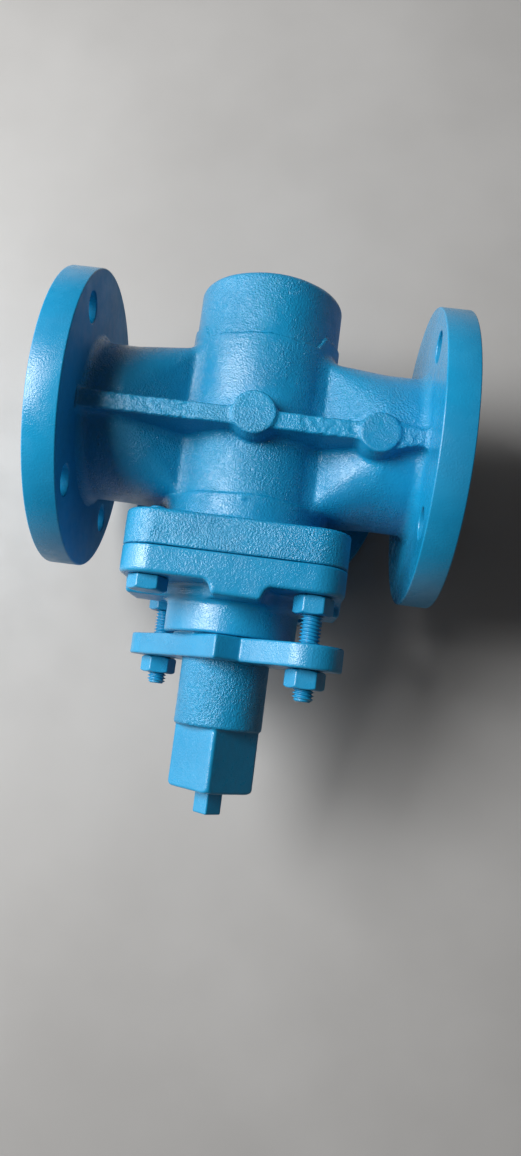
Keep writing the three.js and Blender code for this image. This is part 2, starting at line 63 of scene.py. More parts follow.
# ---- distance field tools ----
def fillet(a, b, r):
    """Union with a concave fillet of radius r."""
    u = np.maximum(r - a, 0)
    v = np.maximum(r - b, 0)
    return np.maximum(r, np.minimum(a, b)) - np.sqrt(u * u + v * v)


def crop(a, b, r=0.0):
    """Intersection with the edge rounded to radius r."""
    if r == 0:
        return np.maximum(a, b)
    u = np.maximum(r + a, 0)
    v = np.maximum(r + b, 0)
    return np.minimum(-r, np.maximum(a, b)) + np.sqrt(u * u + v * v)


def cut(a, b, r=0.0):
    """a without b, with the new edge rounded to radius r."""
    return crop(a, -b, r)


def step(x, a, b):
    """A smooth step from 0 at a to 1 at b; a may be the larger."""
    t = np.clip((x - a) / (b - a), 0, 1)
    return t * t * (3 - 2 * t)


def slab(v, lo, hi):
    return np.maximum(lo - v, v - hi)


def cylinders(r, y, table):
    """Cylinders about the plug axis; each row has a radius and the two heights."""
    return np.minimum.reduce([crop(r - radius, slab(y, lo, hi)) for radius, lo, hi in table])


def rect(u, v, hu, hv, corner):
    """Rounded rectangle in a plane."""
    qu = np.abs(u) - (hu - corner)
    qv = np.abs(v) - (hv - corner)
    return np.hypot(np.maximum(qu, 0), np.maximum(qv, 0)) + np.minimum(np.maximum(qu, qv), 0) - corner


def noise(x, y, z, scale, seed):
    """Smooth value noise from -1 to 1, the same on every run."""
    x, y, z = x / scale + 11.3 * seed, y / scale + 5.7 * seed, z / scale + 3.1 * seed
    ix, iy, iz = np.floor(x), np.floor(y), np.floor(z)
    fx, fy, fz = x - ix, y - iy, z - iz
    fx, fy, fz = (f * f * (3 - 2 * f) for f in (fx, fy, fz))
    total = 0
    for dx in (0, 1):
        for dy in (0, 1):
            for dz in (0, 1):
                n = ((ix + dx).astype(np.int64) * 374761393 + (iy + dy).astype(np.int64) * 668265263
                     + (iz + dz).astype(np.int64) * 2147483647 + seed * 1013904223) & 0xFFFFFFFF
                n = ((n ^ (n >> 13)) * 1274126177) & 0xFFFFFFFF
                n = ((n ^ (n >> 16)) * 2246822519) & 0xFFFFFFFF
                value = ((n ^ (n >> 15)) & 0xFFFF) / 32767.5 - 1
                weight = (fx if dx else 1 - fx) * (fy if dy else 1 - fy) * (fz if dz else 1 - fz)
                total = total + value * weight
    return total


def sample(fn, lo, hi, h):
    """The field on a grid, worked out only in the blocks that the surface passes through."""
    size = 8
    lo = np.array(lo, float) - 1.5 * h
    blocks = np.ceil((np.array(hi, float) + 1.5 * h - lo) / (h * size)).astype(int)
    centre = [lo[i] + (np.arange(blocks[i]) + 0.5) * size * h - h / 2 for i in range(3)]
    bx, by, bz = np.meshgrid(*centre, indexing="ij")
    d = fn(bx.ravel(), by.ravel(), bz.ravel()).reshape(blocks)
    full = np.where(d > 0, 99.0, -99.0).astype(np.float32)
    for axis in range(3):
        full = np.repeat(full, size, axis=axis)
    near = np.argwhere(np.abs(d) < size * h * 1.25)
    off = np.arange(size)
    ox, oy, oz = (o.ravel() for o in np.meshgrid(off, off, off, indexing="ij"))
    for part in np.array_split(near, max(1, len(near) // 3000)):
        gx = (part[:, :1] * size + ox).ravel()
        gy = (part[:, 1:2] * size + oy).ravel()
        gz = (part[:, 2:] * size + oz).ravel()
        full[gx, gy, gz] = fn(lo[0] + gx * h, lo[1] + gy * h, lo[2] + gz * h)
    return full, lo


def surface(fn, lo, hi, h, rough=None):
    """Vertices and quads of the zero surface, moved onto it, then roughened along the normals."""
    f, lo = sample(fn, lo, hi, h)
    inside = f < 0
    c = [inside[i:f.shape[0] - 1 + i, j:f.shape[1] - 1 + j, k:f.shape[2] - 1 + k]
         for i in (0, 1) for j in (0, 1) for k in (0, 1)]
    total = sum(s.astype(np.int8) for s in c)
    cells = np.argwhere((total > 0) & (total < 8))
    number = np.full(total.shape, -1, np.int64)
    number[tuple(cells.T)] = np.arange(len(cells))
    corners = np.array([(i, j, k) for i in (0, 1) for j in (0, 1) for k in (0, 1)])
    value = np.stack([f[tuple((cells + q).T)] for q in corners], 1)
    point = np.zeros((len(cells), 3))
    count = np.zeros(len(cells))
    for a in range(8):
        for b in range(a + 1, 8):
            if np.abs(corners[a] - corners[b]).sum() == 1:
                cross = (value[:, a] < 0) != (value[:, b] < 0)
                t = np.where(cross, value[:, a] / np.where(cross, value[:, a] - value[:, b], 1), 0)
                p = corners[a] + t[:, None] * (corners[b] - corners[a])
                point += p * cross[:, None]
                count += cross
    verts = lo + (cells + point / count[:, None]) * h
    quads = []
    for axis in range(3):
        u, v = (axis + 1) % 3, (axis + 2) % 3
        a = inside.take(range(0, inside.shape[axis] - 1), axis=axis)
        b = inside.take(range(1, inside.shape[axis]), axis=axis)
        edge = np.argwhere(a != b)
        edge = edge[(edge[:, u] > 0) & (edge[:, v] > 0)
                    & (edge[:, u] < inside.shape[u] - 1) & (edge[:, v] < inside.shape[v] - 1)]
        flip = a[tuple(edge.T)]
        ring = []
        for du, dv in ((-1, -1), (0, -1), (0, 0), (-1, 0)):
            q = edge.copy()
            q[:, u] += du
            q[:, v] += dv
            ring.append(number[tuple(q.T)])
        ring = np.stack(ring, 1)
        ring[~flip] = ring[~flip][:, ::-1]
        quads.append(ring)
    quads = np.concatenate(quads)
    for _ in range(2):
        n, d = gradient(fn, verts, h * 0.2)
        verts = verts - n * np.clip(d, -h * 0.6, h * 0.6)[:, None]
    if rough is not None:
        n, _ = gradient(fn, verts, h)
        verts = verts + n * rough(*verts.T)[:, None]
    return verts, quads


def gradient(fn, p, e):
    """The field's unit normals at the points, and its values there."""
    x, y, z = p.T
    d = fn(x, y, z)
    g = np.stack([fn(x + e, y, z) - fn(x - e, y, z), fn(x, y + e, z) - fn(x, y - e, z),
                  fn(x, y, z + e) - fn(x, y, z - e)], 1)
    return g / np.maximum(np.linalg.norm(g, axis=1, keepdims=True), 1e-9), d


def mesh_object(name, verts, faces):
    """A smooth object from vertices in millimetres and quads."""
    mesh = bpy.data.meshes.new(name)
    verts = (np.asarray(verts, float) + CENTRE) * MM
    faces = np.asarray(faces, np.int32)
    mesh.vertices.add(len(verts))
    mesh.vertices.foreach_set("co", verts.astype(np.float32).ravel())
    mesh.loops.add(faces.size)
    mesh.loops.foreach_set("vertex_index", faces.ravel())
    mesh.polygons.add(len(faces))
    mesh.polygons.foreach_set("loop_start", np.arange(len(faces), dtype=np.int32) * faces.shape[1])
    mesh.polygons.foreach_set("use_smooth", np.full(len(faces), True))
    mesh.update(calc_edges=True)
    obj = bpy.data.objects.new(name, mesh)
    bpy.context.scene.collection.objects.link(obj)
    return obj


def shaped(name, fn, lo, hi, h, rough=None):
    """An object from a distance field inside the box lo to hi, with cells of h."""
    return mesh_object(name, *surface(fn, lo, hi, h, rough))


# ---- turned pieces: a grid around the Y axis ----
def turned(name, profile, count=96, at=(0, 0), radius=None):
    """profile is a list of (radius, y) with y falling; radius(angle, y, r) may ripple it."""
    profile = np.array(profile, float)
    angle = np.arange(count) / count * 2 * math.pi
    r = np.repeat(profile[:, :1], count, 1)
    y = np.repeat(profile[:, 1:], count, 1)
    a = np.repeat(angle[None], len(profile), 0)
    if radius is not None:
        r = radius(a, y, r)
    verts = np.stack([r * np.sin(a) + at[0], y, r * np.cos(a) + at[1]], 2).reshape(-1, 3)
    i = np.arange(count)
    j = (i + 1) % count
    rows = np.arange(len(profile) - 1)[:, None] * count
    quads = np.stack([rows + i, rows + count + i, rows + count + j, rows + j], 2).reshape(-1, 4)
    return mesh_object(name, verts, quads)


# ---- flat plates with rounded edges, from filled curves ----
def plate(name, loops, thickness):
    """A plate in the XY plane, its middle at z = 0, in millimetres. The loops after the first are holes."""
    curve = bpy.data.curves.new(name, "CURVE")
    curve.dimensions = "2D"
    curve.fill_mode = "BOTH"
    curve.extrude = thickness / 2 - RIM_EDGE
    curve.bevel_depth = RIM_EDGE
    curve.bevel_resolution = EDGE_STEPS
    curve.offset = -RIM_EDGE
    for points in loops:
        spline = curve.splines.new("POLY")
        spline.points.add(len(points) - 1)
        spline.use_cyclic_u = True
        for p, (u, v) in zip(spline.points, points):
            p.co = (u, v, 0, 1)
    temp = bpy.data.objects.new(name, curve)
    bpy.context.scene.collection.objects.link(temp)
    bpy.context.view_layer.update()
    mesh = bpy.data.meshes.new_from_object(temp.evaluated_get(bpy.context.evaluated_depsgraph_get()))
    bpy.data.objects.remove(temp)
    obj = bpy.data.objects.new(name, mesh)
    bpy.context.scene.collection.objects.link(obj)
    return obj


def circle(r, n, cx=0.0, cy=0.0, turn=1):
    """n points of a circle; turn is -1 for a hole."""
    angles = [turn * 2 * math.pi * i / n for i in range(n)]
    return [(cx + r * math.cos(a), cy + r * math.sin(a)) for a in angles]


# ---- materials ----
def nodes_of(name):
    mat = bpy.data.materials.new(name)
    mat.use_nodes = True
    tree = mat.node_tree
    tree.nodes.clear()
    out = tree.nodes.new("ShaderNodeOutputMaterial")
    bsdf = tree.nodes.new("ShaderNodeBsdfPrincipled")
    tree.links.new(bsdf.outputs[0], out.inputs[0])
    return mat, tree, bsdf


class Build:
    """Short hand for adding shader nodes."""

    def __init__(self, tree):
        self.tree = tree
        self.coords = tree.nodes.new("ShaderNodeTexCoord").outputs["Object"]
        self.normal = tree.nodes.new("ShaderNodeNewGeometry").outputs["Normal"]

    def put(self, socket, value):
        if isinstance(value, bpy.types.NodeSocket):
            self.tree.links.new(value, socket)
        else:
            socket.default_value = value

    def noise(self, scale, detail=3, rough=0.55):
        n = self.tree.nodes.new("ShaderNodeTexNoise")
        self.put(n.inputs["Vector"], self.coords)
        for key, value in (("Scale", scale), ("Detail", detail), ("Roughness", rough)):
            n.inputs[key].default_value = value
        return n.outputs["Fac"]

    def cells(self, scale, smooth=True):
        n = self.tree.nodes.new("ShaderNodeTexVoronoi")
        n.feature = "SMOOTH_F1" if smooth else "F1"
        self.put(n.inputs["Vector"], self.coords)
        n.inputs["Scale"].default_value = scale
        return n.outputs["Distance"]

    def math(self, op, a, b):
        n = self.tree.nodes.new("ShaderNodeMath")
        n.operation = op
        self.put(n.inputs[0], a)
        self.put(n.inputs[1], b)
        return n.outputs[0]

    def span(self, value, a, b, lo=0.0, hi=1.0):
        """A smooth change from lo, where the value is a, to hi, where it is b."""
        n = self.tree.nodes.new("ShaderNodeMapRange")
        n.interpolation_type = "SMOOTHSTEP"
        for key, v in (("Value", value), ("From Min", a), ("From Max", b), ("To Min", lo), ("To Max", hi)):
            self.put(n.inputs[key], v)
        return n.outputs[0]

    def mix(self, fac, a, b):
        n = self.tree.nodes.new("ShaderNodeMix")
        n.data_type = "RGBA"
        self.put(n.inputs[0], fac)
        self.put(n.inputs[6], a)
        self.put(n.inputs[7], b)
        return n.outputs[2]

    def dot(self, vector, direction):
        n = self.tree.nodes.new("ShaderNodeVectorMath")
        n.operation = "DOT_PRODUCT"
        self.put(n.inputs[0], vector)
        n.inputs[1].default_value = direction
        return n.outputs["Value"]

    def bump(self, height, distance, after=None):
        n = self.tree.nodes.new("ShaderNodeBump")
        n.inputs["Strength"].default_value = 1.0
        n.inputs["Distance"].default_value = distance
        self.put(n.inputs["Height"], height)
        if after is not None:
            self.put(n.inputs["Normal"], after)
        return n.outputs[0]


DEEP_BLUE, LIGHT_BLUE = (0.003, 0.235, 0.46, 1), (0.006, 0.28, 0.53, 1)
# the whitish colour after the worn blue is a painted highlight, laid on the faces turned toward the key
# light
WORN_BLUE, PAINTED_SHEEN, PIT = (0.025, 0.35, 0.60, 1), (0.50, 0.66, 0.78, 1), (0.008, 0.03, 0.07, 1)
# the first direction points at the key light; faces turned that way get the painted highlight
PAINTED_SHEEN_SIDE, DULL_SIDE = (-0.6, 0.1, 0.75), (0.85, -0.5, -0.2)
PAINTED_SHEEN_TINT, PAINTED_SHEEN_ROUGH, DULL_ROUGH, PIT_TINT, PIT_DEPTH = 0.05, 0.04, 0.35, 0.8, 0.3
PAINT_SPECULAR = 0.62


def paint(name, grain, peel, roughness, along=None):
    """Sky blue enamel. grain is the depth in mm of the sand-cast grain, peel that of the paint's own
    ripple. along = (y, y) in metres fades the grain out along the plug axis."""
    mat, tree, bsdf = nodes_of(name)
    b = Build(tree)

    # colour: cloudy blue, a little worn, a faint painted sheen (a painted highlight) on the faces toward
    # the upper left lamp, dark pin holes
    colour = b.mix(b.span(b.noise(22, 4), 0.3, 0.7), DEEP_BLUE, LIGHT_BLUE)
    colour = b.mix(b.span(b.noise(60, 5, 0.65), 0.56, 0.78, 0, 0.25), colour, WORN_BLUE)
    # painted light: faces turned toward the key light are tinted whitish in noisy patches, a painted sheen
    facing = b.span(b.dot(b.normal, PAINTED_SHEEN_SIDE), 0.2, 1.0)
    painted_sheen = b.math("MULTIPLY", facing, b.span(b.noise(18, 3), 0.25, 0.75))
    colour = b.mix(b.math("MULTIPLY", painted_sheen, PAINTED_SHEEN_TINT), colour, PAINTED_SHEEN)
    patches = b.span(b.noise(70, 2), 0.63, 0.68)
    pit = b.math("MULTIPLY", b.span(b.cells(210, False), 0.10, 0.05), patches)
    colour = b.mix(b.math("MULTIPLY", pit, PIT_TINT), colour, PIT)
    b.put(bsdf.inputs["Base Color"], colour)

    # gloss: uneven, and dull on the faces toward the lower right
    gloss = b.span(b.noise(130, 3), 0.3, 0.75, roughness - 0.05, roughness + 0.08)
    dull = b.math("MULTIPLY", b.span(b.dot(b.normal, DULL_SIDE), 0.25, 0.8), DULL_ROUGH)
    # a little rougher where the painted sheen is laid
    dull = b.math("ADD", dull, b.math("MULTIPLY", painted_sheen, PAINTED_SHEEN_ROUGH))
    b.put(bsdf.inputs["Roughness"], b.math("ADD", gloss, dull))
    bsdf.inputs["Specular IOR Level"].default_value = PAINT_SPECULAR

    # relief: grain in patches, the paint's ripple, the pin holes
    amount = b.span(b.noise(28, 3), 0.3, 0.65, 0.35, 1.0)
    if along is not None:
        place = tree.nodes.new("ShaderNodeSeparateXYZ")
        b.put(place.inputs[0], b.coords)
        amount = b.math("MULTIPLY", amount, b.span(place.outputs["Y"], along[0], along[1], 0.15, 1.0))
    coarse = b.math("MULTIPLY", b.noise(900, 3, 0.6), amount)
    lumps = b.math("MULTIPLY", b.cells(1050), amount)
    normal = b.bump(coarse, grain * 1.5 * MM)
    normal = b.bump(lumps, grain * MM, normal)
    normal = b.bump(b.noise(1500, 2, 0.5), peel * MM, normal)
    normal = b.bump(b.math("SUBTRACT", 1.0, pit), PIT_DEPTH * MM, normal)
    b.put(bsdf.inputs["Normal"], normal)
    return mat


def plain(name, colour, other, roughness, metallic, scale, depth):
    """Two colours mixed by a noise of that scale, which is also a relief of that depth in mm."""
    mat, tree, bsdf = nodes_of(name)
    b = Build(tree)
    n = b.noise(scale, 4)
    b.put(bsdf.inputs["Base Color"], b.mix(b.span(n, 0.3, 0.7), colour, other))
    gloss = b.span(b.noise(scale * 3, 3), 0.3, 0.7, roughness - 0.06, roughness + 0.08)
    b.put(bsdf.inputs["Roughness"], gloss)
    bsdf.inputs["Metallic"].default_value = metallic
    b.put(bsdf.inputs["Normal"], b.bump(n, depth * MM))
    return mat


CAST = paint("casting_paint", 0.5, 0.08, 0.2)
COVER = paint("cover_paint", 0.17, 0.07, 0.2)
SMOOTH = paint("fitting_paint", 0.10, 0.05, 0.24)
STEM = paint("stem_paint", 0.6, 0.06, 0.2, (-0.116, -0.113))
STEEL = plain("steel", (0.46, 0.47, 0.48, 1), (0.36, 0.37, 0.38, 1), 0.28, 1.0, 300, 0.02)
FIBRE = plain("fibre", (0.09, 0.085, 0.075, 1), (0.05, 0.048, 0.04, 1), 0.85, 0.0, 500, 0.15)
PACKING = plain("packing", (0.05, 0.048, 0.045, 1), (0.025, 0.024, 0.022, 1), 0.8, 0.1, 700, 0.3)
SEALANT = plain("sealant", (0.42, 0.31, 0.12, 1), (0.33, 0.23, 0.08, 1), 0.5, 0.0, 200, 0.1)


def finish(obj, mat, body, slot, *nodes):
    obj.data.materials.clear()
    obj.data.materials.append(mat)
    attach(obj, body)
    if nodes:
        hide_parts(*nodes)


# ---- body ----
# each passage goes from a rounded rectangle (half height, half width, corner) to a circle
NECK = dict(begin=42, end=80, half=(49, 28, 7), radius=50.5)
PORT = dict(begin=46, end=92, half=(WINDOW_HIGH, WINDOW_WIDE, 8), radius=BORE)
PORT_INNER, NECK_REACH = 6, 112
BARREL_R, BARREL_TOP, BARREL_DOME, BARREL_FOOT = 46.5, 95.5, 0.0006, -80
STEP_OUT, STEP_BACK, STEP_FRONT, STEP_FOOT = 1.3, 63, 53.3, -47.5
RUN_AT, RUN_SIZE = (0, -50.6, 48.2), (3.2, 1.4, 1.7)
BODY_FLANGE_TOP = -65.5
DISC_R, DISC_BACK, DISC_END = 61, 104.6, 118
RIB_Y, RIB_TOP, RIB_HALF, RIB_END, RIB_ROOT, RIB_DRAFT = -4.3, 59.6, 5.3, 106, 20, 0.05
PAD_X, PAD_HIGH = -2.5, 0.7
# round bosses on the rib: x, y, radius, top
BOSSES = ((0.5, -1.5, 12.9, 62), (75, -4.6, 11.7, 61.5))
BOSS_ROOT, BOSS_DRAFT = 30, 0.18
WEB_TOP, WEB_HALF, WEB_FROM, WEB_TO, WEB_NARROWS = 59.4, 10.5, 78, 100, 0.32
SEAT_R, STUD_HOLE_END, BOLT_HOLE_END = 36.12, -69.6, -60
# turned hollows: radius, lower and upper height
HOLLOWS = ((32.8, 60, 84), (39.5, -90, -67), (57, -90, -84.8))


def passage(along, y, across, begin, end, half, radius):
    t = np.clip((along - begin) / (end - begin), 0, 1)
    high, wide, corner = half
    return rect(y, across, high + (radius - high) * t, wide + (radius - wide) * t,
                corner + (radius - 0.01 - corner) * t)


def outline(x, z):
    return rect(x, z, SQUARE_HALF, SQUARE_HALF, SQUARE_CORNER)


def barrel_radius(x, y, z):
    """The barrel is a little larger below an uneven line near its top, and again at its foot."""
    angle = np.arctan2(x, z)
    front = step(np.abs(angle + 0.02), 0.98, 0.78)
    line = STEP_BACK + (STEP_FRONT - STEP_BACK) * front
    line = line + 0.35 * np.sin(angle * 9 + 1) + 0.2 * np.sin(angle * 23)
    foot = STEP_FOOT + 0.4 * np.sin(angle * 7)
    r = BARREL_R + STEP_OUT * step(line - y, -0.3, 0.3)
    return r + STEP_OUT * step(foot - y, -0.4, 0.6)


def rib_field(x, y, z):
    """The rib along the ports' axis, raised a little in its middle, without its bosses."""
    top = RIB_TOP + PAD_HIGH * step(np.abs(x - PAD_X), 35, 29)
    width = RIB_HALF + np.clip(59.5 - z, 0, 40) * RIB_DRAFT
    rib = crop(np.abs(y - RIB_Y) - width, z - top, 1.3)
    return np.maximum(np.maximum(rib, np.abs(x) - RIB_END), RIB_ROOT - z)


def tapped_holes(d, x, y, z):
    """d without the holes of the studs and the cover bolts."""
    for s in (-1, 1):
        stud = crop(np.hypot(x - s * FIX, z - s * FIX) - TAPPED_R, slab(y, -90, STUD_HOLE_END))
        bolt = crop(np.hypot(x + s * FIX, z - s * FIX) - TAPPED_R, slab(y, -90, BOLT_HOLE_END))
        d = np.maximum(d, -np.minimum(stud, bolt))
    return d


def body_field(x, y, z):
    r = np.hypot(x, z)
    barrel = crop(r - barrel_radius(x, y, z), y - (BARREL_TOP - BARREL_DOME * r * r), 4.5)
    barrel = crop(barrel, BARREL_FOOT - y)
    side = crop(passage(np.abs(x), y, z, **NECK), np.abs(x) - NECK_REACH)
    down = crop(crop(passage(-z, y, x, **NECK), -z - NECK_REACH), z)
    d = fillet(barrel, side, 6)
    d = fillet(d, down, 6)
    run = sum(((v - at) / size) ** 2 for v, at, size in zip((x, y, z), RUN_AT, RUN_SIZE))
    d = fillet(d, (np.sqrt(run) - 1) * RUN_SIZE[1], 0.4)
    flange = crop(crop(outline(x, z), y - BODY_FLANGE_TOP, 2.2), JOINT_BODY - y, 0.6)
    d = fillet(d, flange, 5)
    for along, across in ((np.abs(x), z), (-z, x)):
        disc = crop(np.hypot(y, across) - DISC_R, slab(along, DISC_BACK, DISC_END))
        d = fillet(d, disc, 7)
    d = fillet(d, rib_field(x, y, z), 4.5)
    for cx, cy, radius, high in BOSSES:
        q = np.hypot(x - cx, y - cy)
        boss = crop(q - radius - np.clip(high - z, 0, 8) * BOSS_DRAFT, z - high, 0.7)
        d = fillet(d, np.maximum(boss, BOSS_ROOT - z), 2.5)
    web = crop(np.abs(y - RIB_Y) - (WEB_HALF - (x - 80) * WEB_NARROWS), z - WEB_TOP, 1.0)
    web = np.maximum(np.maximum(web, slab(x, WEB_FROM, WEB_TO)), BOSS_ROOT - z)
    d = fillet(d, web, 2.0)
    bores = np.minimum(crop(passage(np.abs(x), y, z, **PORT), PORT_INNER - np.abs(x)),
                       crop(passage(-z, y, x, **PORT), PORT_INNER + z))
    seat = crop(r - (SEAT_R - TAPER * np.clip(y, -68, 64)), slab(y, -67, 64))
    d = np.maximum(d, -np.minimum(seat, cylinders(r, y, HOLLOWS)))
    return tapped_holes(cut(d, bores, 0.8), x, y, z)


def body_rough(x, y, z):
    """A slight unevenness everywhere, and a coarse skin on the rib's top outside its pad and boss."""
    on_rib = step(np.abs(y + 4), 17, 13)
    flat = step(z, 57.2, 58.6) * on_rib
    pad = flat * step(np.abs(x - PAD_X), 31.5, 30.5)
    boss = step(np.hypot(x - BOSSES[1][0], y - BOSSES[1][1]), 12.5, 11.5) * flat
    smooth = np.clip(pad + boss, 0, 1)
    top = step(z, 57.5, 59) * on_rib * (1 - smooth)
    n = 0.045 * noise(x, y, z, 2.6, 1) + 0.14 * noise(x, y, z, 14, 3)
    coarse = 0.42 * noise(x, y, z, 2.7, 4) + 0.34 * noise(x, y, z, 1.9, 5)
    return n * (1 - 0.85 * smooth) + coarse * top


body = shaped("body_casting", body_field, (-113, -87, -113), (113, 97, 68), MEDIUM, body_rough)
finish(body, CAST, "housing", "casting_paint", "body")


FLAT_FACE = 0.999


def flange(name, way):
    """A pipe flange plate with its raised face, pointed along way."""
    thick = FLANGE_FACE - FLANGE_BACK
    loops = [circle(FLANGE_R, 160), circle(BORE, 96, turn=-1)]
    for i in range(4):
        a = (i + 0.5) * math.pi / 2
        loops.append(circle(BOLT_HOLE, 40, BOLT_CIRCLE * math.cos(a), BOLT_CIRCLE * math.sin(a), turn=-1))
    obj = plate(name, loops, thick)
    mesh = obj.data
    across = Vector((0, 1, 0))
    basis = Matrix((across, way.cross(across), way)).transposed().to_4x4()
    place = Matrix.Translation(Vector(CENTRE * MM) + way * (FLANGE_BACK + thick / 2) * MM)
    mesh.transform(place @ basis @ Matrix.Scale(MM, 4))
    for p in mesh.polygons:
        p.use_smooth = abs(p.normal.dot(way)) < FLAT_FACE
    mesh.update()
    finish(obj, SMOOTH, "housing", "casting_paint", "body")
    face = FLANGE_FACE + RAISED
    r = RAISED_R - 0.4
    profile = [(RAISED_R, FLANGE_FACE - 0.5), (RAISED_R, face - 0.4), (r, face)]
    while r > GROOVES_R:
        profile += [(r - 0.15, face), (r - 0.4, face - GROOVE_DEPTH), (r - 0.65, face)]
        r -= GROOVE_PITCH
    profile += [(BORE + 1, face), (BORE + 0.25, face - 0.3), (BORE, face - 1.2)]
    profile.append((BORE, FLANGE_BACK - 0.6))
    ring = turned(name + "_raised_face", profile, 144)
    ring.data.transform(Matrix.Translation(-Vector(CENTRE * MM)))
    turn = Vector((0, 1, 0)).rotation_difference(way).to_matrix().to_4x4()
    ring.data.transform(Matrix.Translation(Vector(CENTRE * MM)) @ turn)
    ring.data.update()
    finish(ring, SMOOTH, "housing", "casting_paint", "body")


flange("flange_right", Vector((1, 0, 0)))
flange("flange_left", Vector((-1, 0, 0)))
flange("flange_bottom", Vector((0, 0, -1)))


# ---- cover ----
COVER_HUB_R, ARM_FILLET, ARM_DRAFT, STUFFING_R = 43.5, 9, 0.4, 41.5
# the raised arms: middle and half width of those toward Z, then of those toward X
ARM_X, ARM_HALF_X, ARM_Z, ARM_HALF_Z = 4, 14, 1.5, 18.5
COVER_BORES = ((28.2, -105, -80), (35.5, -140, -104), (57, -88, -80))


def cover_field(x, y, z):
    r = np.hypot(x, z)
    arms = r - COVER_HUB_R
    for s in (1, -1):
        arms = fillet(arms, np.maximum(np.abs(x - s * ARM_X) - ARM_HALF_X, -s * z), ARM_FILLET)
    for s in (1, -1):
        arms = fillet(arms, np.maximum(np.abs(z - s * ARM_Z) - ARM_HALF_Z, s * x), ARM_FILLET)
    hub = crop(arms - ARM_DRAFT * (y - HUB_Y), HUB_Y - y, 1.6)
    d = crop(outline(x, z), fillet(FLOOR_Y - y, hub, 2.8), 2.2)
    d = crop(d, y - JOINT_COVER, 0.6)
    stuffing = crop(r - STUFFING_R, slab(y, NECK_END, -100), 1.2)
    d = fillet(d, stuffing, 3.5)
    d = np.maximum(d, -cylinders(r, y, COVER_BORES))
    holes = np.hypot(np.abs(x) - FIX, np.abs(z) - FIX) - CLEAR_R
    return np.maximum(d, -holes)


def cast_rough(x, y, z):
    return 0.04 * noise(x, y, z, 2.6, 6) + 0.12 * noise(x, y, z, 12, 8)


cover = shaped("cover_casting", cover_field, (-67, -131, -67), (67, -87, 67), MEDIUM, cast_rough)
finish(cover, COVER, "housing", "casting_paint", "cover")


# ---- gland plate ----
EAR_R, EAR_STEPS, EAR_START, EAR_SWEEP = 20.5, 24, 0.73, 1.02
GLAND_CORNERS = ((-5.0, 52.0), (9.5, 44.0))
GLAND_LOW, GLAND_HIGH, GLAND_BORE = -145.8, -131.8, 28.0
SLEEVE_R, SLEEVE_LOW, SLEEVE_HIGH = 35.2, -132.0, -124.7


def gland_outline():
    """The plate's outline in X and Z: two ears round the studs, and two corners between them."""
    points = []
    for s in (1, -1):
        points += [(s * u, s * v) for u, v in GLAND_CORNERS]
        start = math.pi * (EAR_START if s > 0 else EAR_START - 1)
        for i in range(EAR_STEPS + 1):
            a = start - i / EAR_STEPS * math.pi * EAR_SWEEP
            points.append((s * FIX + EAR_R * math.cos(a), s * FIX + EAR_R * math.sin(a)))
    return np.array(points)


GLAND = gland_outline()


def polygon(u, v, points):
    """Signed distance to a polygon."""
    d = np.full(u.shape, 1e9)
    sign = np.ones(u.shape)
    for (ax, ay), (bx, by) in zip(points, np.roll(points, 1, axis=0)):
        ex, ey = bx - ax, by - ay
        wu, wv = u - ax, v - ay
        t = np.clip((wu * ex + wv * ey) / (ex * ex + ey * ey), 0, 1)
        d = np.minimum(d, (wu - ex * t) ** 2 + (wv - ey * t) ** 2)
        c1, c2, c3 = v >= ay, v < by, ex * wv > ey * wu
        sign = np.where((c1 & c2 & c3) | (~c1 & ~c2 & ~c3), -sign, sign)
    return sign * np.sqrt(d)


def gland_field(x, y, z):
    r = np.hypot(x, z)
    d = crop(polygon(x, z, GLAND), slab(y, GLAND_LOW, GLAND_HIGH), 1.3)
    d = np.minimum(d, crop(r - SLEEVE_R, slab(y, SLEEVE_LOW, SLEEVE_HIGH), 0.6))
    d = cut(d, r - GLAND_BORE, 0.8)
    for s in (-1, 1):
        d = cut(d, np.hypot(x - s * FIX, z - s * FIX) - CLEAR_R, 0.5)
    return d


gland = shaped("gland_plate", gland_field, (-70, -146, -70), (70, -124, 70), MEDIUM, cast_rough)
finish(gland, COVER, "gland", "fitting_paint", "gland")


# ---- plug, stem and square ----
HEAD_R, STEM_R, STEM_END = 38, 27.5, -186.6
STEM_SQUARE, STEM_SQUARE_CORNER, SQUARE_TURNED_R, SQUARE_END, SQUARE_END_R = 19.15, 2.2, 26.7, -224.8, 24.3
PLUG_BORES = ((9.75, -230, -185), (8.35, -190, -132.5), (5.6, -135, -112), (2.5, -115, -53))
SEAL_HALF, SEAL_DEPTH = 1.6, 1.8
SCREW_SQUARE, SCREW_CORNER, SCREW_R = 6.3, 1.1, 9.4


def turned_45(x, z):
    """The plane's coordinates along the stem's flats."""
    return (x + z) / math.sqrt(2), (z - x) / math.sqrt(2)


